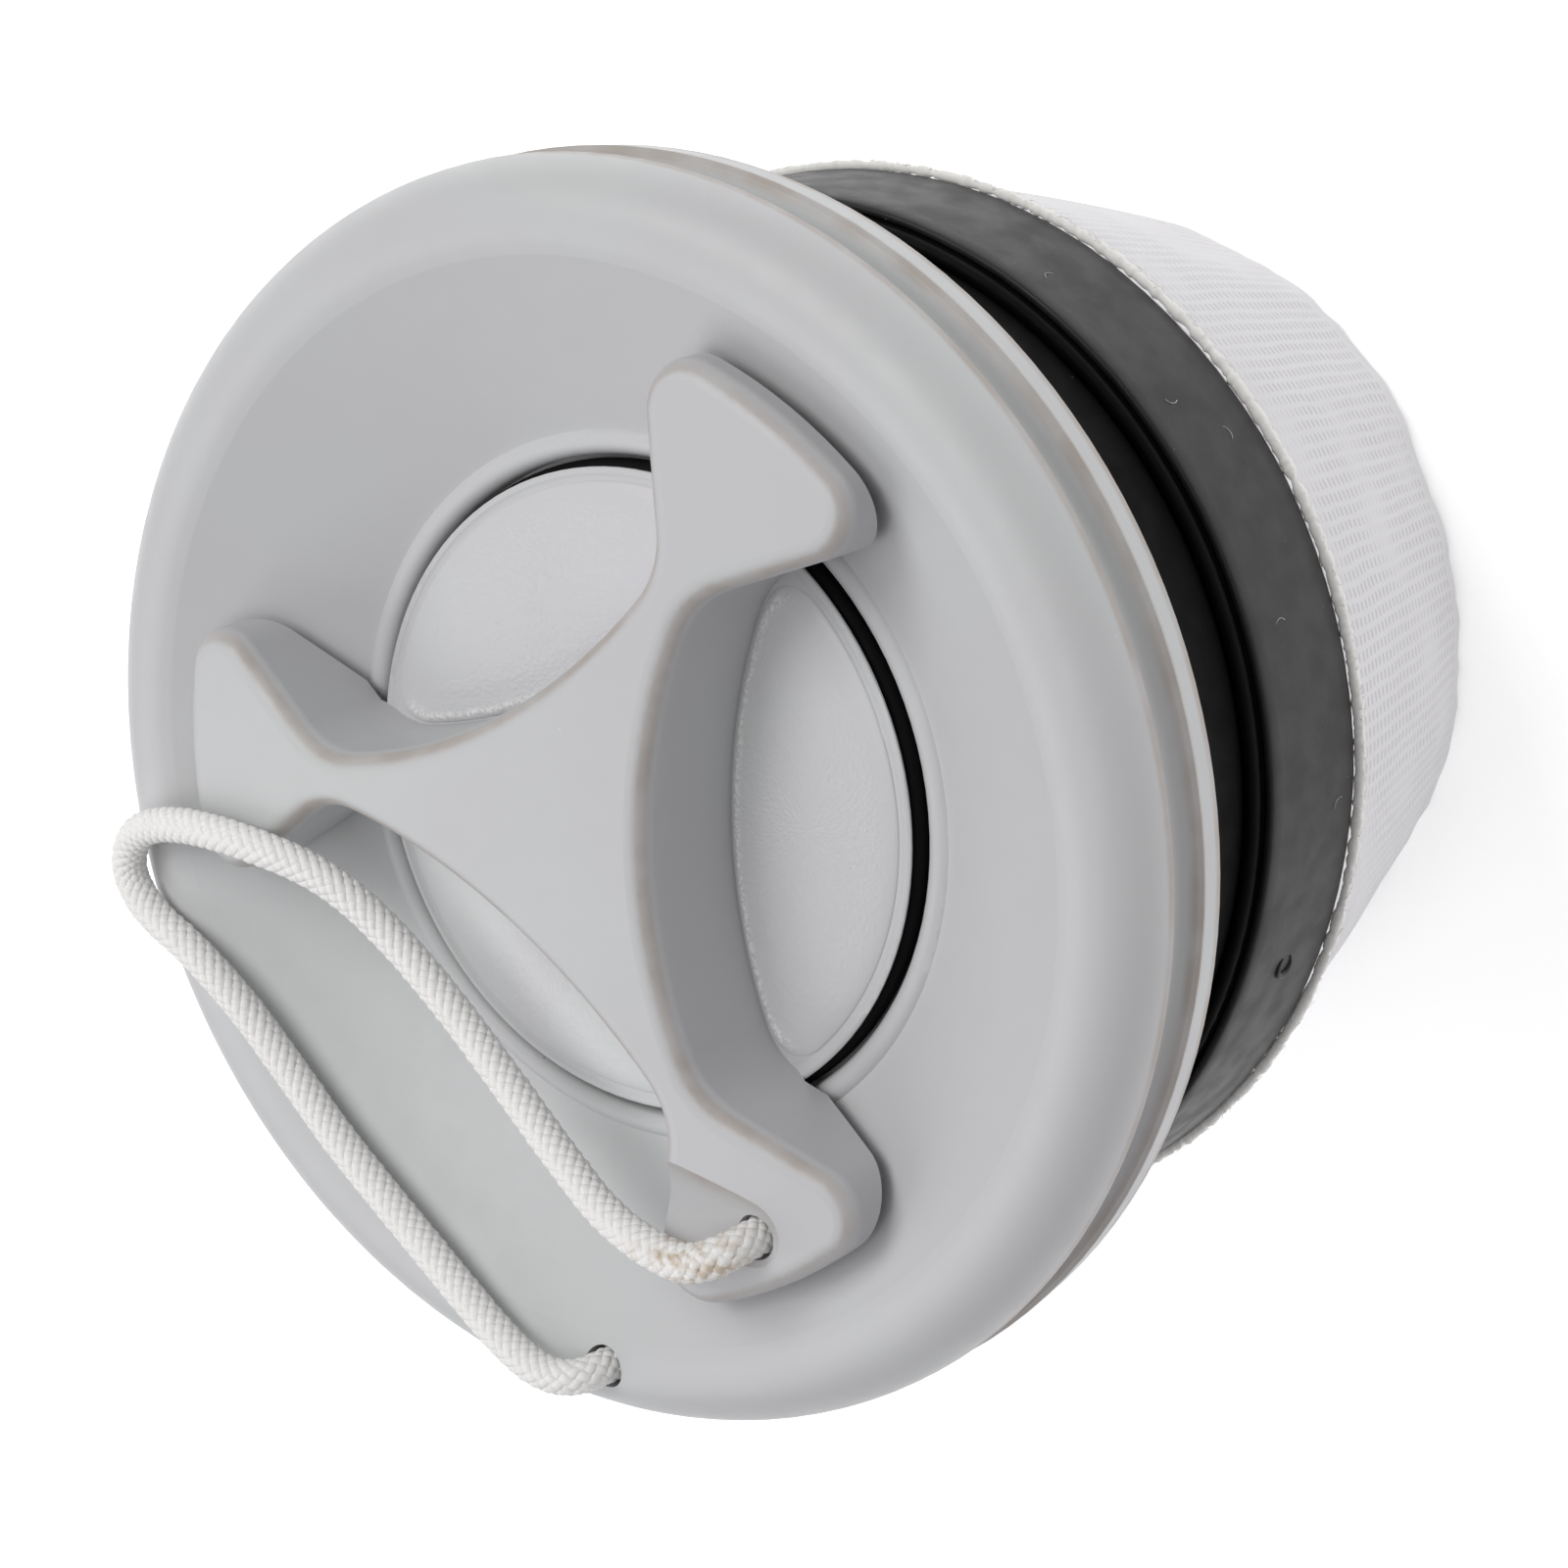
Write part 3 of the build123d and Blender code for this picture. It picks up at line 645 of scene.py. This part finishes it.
def make_sock():
    """A fabric sleeve from under the band to a loose, wavy mouth with a raw edge."""
    low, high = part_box("drain_sock")
    top = high[2] / MM
    mouth = low[2] / MM
    root_radius = high[0] / MM
    outside = []
    inside = []
    for i in range(sock_rings + 1):
        share = i / sock_rings
        height = top + (mouth + 0.6 - top) * share
        radius = root_radius - 0.25 + (mouth_radius - root_radius) * share
        outside.append((radius, height))
        inside.append((radius - sock_thickness, height))
    flange = [(clamped_radius, top - sock_thickness), (clamped_radius, top)]
    profile = outside + inside[::-1] + flange
    sock = lathe("sock_sleeve", profile, sock_segments, sock_weave(), sock_shape(top, mouth))
    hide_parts("drain_sock")
    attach(sock, "rear")
    thread = thread_white("fray_thread", (0.98, 0.965, 0.935))
    loose_edge = [frayed_bead(root_radius + 0.36, top - 0.38, thread),
                  frayed_edge(root_radius + 0.6, top, thread)]


def frayed_bead(radius, height, material):
    """The rolled cut edge at the band: a lumpy creamy line of unequal thickness."""
    def shape(bead_radius, bead_height, azimuth):
        round_place = Vector((math.cos(azimuth), math.sin(azimuth), 0.0))
        lumps = noise.fractal(round_place * 46, 0.8, 2.0, 3)
        thick = 1.05 + 0.45 * lumps
        rough = 0.05 * noise.noise(Vector((bead_radius * 9, bead_height * 9, azimuth * radius * 3)))
        lift = 0.08 * noise.noise(round_place * 17)
        return (radius + (bead_radius - radius) * thick + rough,
                height + (bead_height - height) * thick + lift + rough)

    profile = [(radius + bead_thickness * math.cos(math.tau * i / 10),
                height + bead_thickness * math.sin(math.tau * i / 10)) for i in range(10)]
    bead = lathe("frayed_bead", profile, 2 * sock_segments, material, shape)
    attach(bead, "rear")
    return bead


def frayed_edge(radius, height, material):
    """Tufts of loose fibre that stand off the sleeve's cut edge."""
    lines = []
    for _ in range(tuft_count):
        azimuth = dice.uniform(0, math.tau)
        outward = np.array((math.cos(azimuth), math.sin(azimuth), 0.0))
        along = np.array((-math.sin(azimuth), math.cos(azimuth), 0.0))
        root = outward * (radius + dice.uniform(-0.15, 0.1)) * MM
        root = root + np.array((0, 0, (height + dice.uniform(-0.75, -0.1)) * MM))
        reach = dice.uniform(0.2, 0.6) * MM
        lean = along * dice.uniform(-1.6, 1.6)
        tip = outward * dice.uniform(0.2, 0.7) + lean + np.array((0, 0, dice.uniform(-0.5, 0.4)))
        bend = outward * dice.uniform(0.4, 0.8) + lean * 0.4
        lines.append([root, root + bend * reach * 0.5, root + tip * reach])
    tufts = fibre_mesh("frayed_edge", lines, 0.045 * MM, material)
    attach(tufts, "rear")
    return tufts


# ---- clamp band ----
def make_band():
    """The dull black band: softened edges, a slightly uneven rear edge, a gate mark and lint."""
    low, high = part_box("clamp_band")
    front = high[2] / MM
    rear = low[2] / MM
    phases = [dice.uniform(0, math.tau) for _ in range(6)]

    def uneven(azimuth):
        return sum(math.sin(count * azimuth + phase) / count ** 0.5
                   for count, phase in zip((5, 11, 23, 47, 89, 131), phases))

    def shape(radius, height, azimuth):
        depth = (front - height) / (front - rear)
        rough = 0.05 + 0.1 * max(0.0, depth - 0.9) * 10
        return radius + 0.03 * uneven(azimuth), height + rough * uneven(azimuth + 2.0)

    face = [(band_bore, front - 0.8), (band_face_radius, front - 0.8),
            (45.35, front - 0.75), (45.35, front - 0.1), (45.4, front - 0.04), (45.5, front),
            (45.8, front), (45.96, front - 0.1), (46.05, front - 0.3)]
    wall = [(band_radius + 0.05 * math.sin(math.pi * i / 12) - 0.05,
             front - 0.6 - (front - rear - 1.5) * i / 12) for i in range(13)]
    back = [(band_radius, rear + 0.6), (46.12, rear + 0.3), (45.98, rear + 0.1), (45.8, rear + 0.05),
            (band_bore, rear + 0.05)]
    material = band_rubber()
    band = lathe("band_sleeve", face + wall + back, 720, material, shape)
    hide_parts("clamp_band")
    gate = gate_mark(material)
    for piece in (band, gate):
        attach(piece, "rear")
    lint = band_lint()
    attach(lint, "rear")


def gate_mark(material):
    """A small C-shaped ridge where the moulding's gate was cut."""
    vertices = []
    turns = 28
    sides = 8
    azimuth = math.radians(gate_azimuth)
    outward = Vector((math.cos(azimuth), math.sin(azimuth), 0))
    along = Vector((-math.sin(azimuth), math.cos(azimuth), 0))
    middle = outward * (band_radius - 0.02) * MM + Vector((0, 0, gate_height * MM))
    for i in range(turns):
        share = i / (turns - 1)
        turn = math.radians(35 + 290 * share)
        thick = (0.1 + 0.24 * math.sin(math.pi * share)) * MM
        way = along * math.cos(turn) + Vector((0, 0, math.sin(turn)))
        for j in range(sides):
            angle = math.tau * j / sides
            off_ring = way * (gate_radius * MM + thick * math.cos(angle))
            vertices.append(middle + off_ring + outward * thick * math.sin(angle))
    gate = make_piece("gate_mark", vertices, ring_faces(turns, sides), material)
    face_outwards(gate)
    return gate


def band_lint():
    """A few short curled hairs that cling to the band."""
    lines = []
    for degrees, height in lint_places:
        azimuth = math.radians(degrees)
        curl = dice.uniform(0.5, 0.9) * dice.choice((-1, 1))
        turn = dice.uniform(0, math.tau)
        line = []
        for i in range(9):
            bend = turn + curl * i / 3
            azimuth += 0.2 * math.cos(bend) / band_radius
            height += 0.2 * math.sin(bend)
            radius = (band_radius + 0.07) * MM
            line.append((radius * math.cos(azimuth), radius * math.sin(azimuth), height * MM))
        lines.append(line)
    return fibre_mesh("band_lint", lines, 0.03 * MM, knot_material)


# ---- cap pads ----
def soft_least(a, b, rounding):
    """The lesser of two distances, rounded where they cross."""
    share = max(rounding - abs(a - b), 0.0) / rounding
    return min(a, b) - share * share * rounding / 4


def pad_distances(x, y):
    """How far a place is from the hub's side and from the disc's edge."""
    wall = side_radius - pad_wall_gap - math.hypot(x - side_reach - side_radius, y)
    edge = pad_edge_radius - math.hypot(x, y)
    return wall, edge


def pad_depth(x, y):
    """How far a place is inside a pad's outline."""
    wall, edge = pad_distances(x, y)
    return soft_least(wall, edge, pad_rounding)


def pad_outline(angle):
    """The outline's distance from the pad's middle in a direction, found by halving."""
    near = 0.0
    far = 30.0
    for _ in range(40):
        middle = (near + far) / 2
        if pad_depth(pad_middle + middle * math.cos(angle), middle * math.sin(angle)) > 0:
            near = middle
        else:
            far = middle
    return near


def pad_surface(x, y, number):
    """A pad's height over a place, and how worn its grain is there."""
    radius = math.hypot(x, y)
    wall, rim = pad_distances(x, y)
    wall_side = min(1.0, max(0.0, 0.5 + (rim - wall) / 3))
    inside = max(pad_depth(x, y), 0.0)
    edge = min(inside / (0.8 * wall_side + 2.4 * (1 - wall_side)), 1.0)
    shoulder = math.sqrt(1 - (1 - edge) ** 2)
    seam = math.exp(-((inside - 0.6) / 0.35) ** 2) * wall_side
    valley = math.exp(-((inside - 1.9) / 0.7) ** 2) * wall_side
    dome = 1 - math.exp(-inside / 3.2)
    place = Vector((x, y, number * 40.0))
    distances = noise.voronoi(place / grain_size)[0]
    pebble = min((distances[1] - distances[0]) * 2.2, 1.0) ** 0.6
    rough = noise.fractal(place / 0.3, 1.0, 2.0, 2)
    disc = crown_height - crown_fall * (max(radius - crown_radius, 0) / crown_reach) ** 2
    height = disc - 0.05 + pad_rise * shoulder + pad_dome * dome + 0.08 * seam - 0.05 * valley
    return height + (grain_depth * (pebble - 0.5) + 0.05 * seam * rough) * edge, seam


def make_pads():
    """Three lens-shaped domed pads between the grip's arms, with a real leather grain."""
    material = leather_gray()
    outline = [pad_outline(math.tau * i / pad_turns) for i in range(pad_turns)]
    for number in range(3):
        turn = Matrix.Rotation(math.radians(first_arm + 60 + 120 * number), 3, "Z")
        vertices = []
        worn = []
        for ring in range(1, pad_rings + 1):
            share = 1 - (1 - ring / pad_rings) ** 1.25
            for i in range(pad_turns):
                angle = math.tau * i / pad_turns
                x = pad_middle + outline[i] * share * math.cos(angle)
                y = outline[i] * share * math.sin(angle)
                height, seam = pad_surface(x, y, number)
                vertices.append(turn @ Vector((x, y, height)) * MM)
                worn.append(seam)
        height, seam = pad_surface(pad_middle, 0, number)
        vertices.append(turn @ Vector((pad_middle, 0, height)) * MM)
        worn.append(seam)
        faces = []
        for ring in range(pad_rings - 1):
            for i in range(pad_turns):
                k = (i + 1) % pad_turns
                here = ring * pad_turns
                beyond = here + pad_turns
                faces.append((here + i, beyond + i, beyond + k, here + k))
        for i in range(pad_turns):
            faces.append((len(vertices) - 1, i, (i + 1) % pad_turns))
        pad = make_piece(f"cap_pad_{number + 1}", vertices, faces, material)
        attribute = pad.data.attributes.new("worn", "FLOAT", "POINT")
        attribute.data.foreach_set("value", np.array(worn, np.float32))
        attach(pad, "cap")


# ---- the CAD pieces that stay, with their finishes ----
def finish_nodes():
    """Give each CAD piece its material."""
    gray = gray_plastic("gray_moulding")
    smooth_black = black_moulding("black_moulding", 0.002, 0.5, 0.06, 0.1)
    seal_black = black_moulding("seal_rubber", 0.004, 0.55, 0.1, 0.2)
    finishes = {
        "front_flange": gray, "cap_handle": gray, "cap_plug": gray,
        "rear_collar": smooth_black, "sock_ring": smooth_black,
        "hull_seal": seal_black, "cap_seal": seal_black, "flange_gasket": seal_black,
        "cap_knot": knot_material, "flange_knot": knot_material,
    }
    for name, material in finishes.items():
        nodes[name].data.materials.clear()
        nodes[name].data.materials.append(material)


bpy.context.scene.view_settings.view_transform = "Standard"
knot_material = thread_white("loose_fibre", (0.93, 0.92, 0.905))
make_camera()
make_stage()
make_cord()
make_sock()
make_band()
make_pads()
finish_nodes()
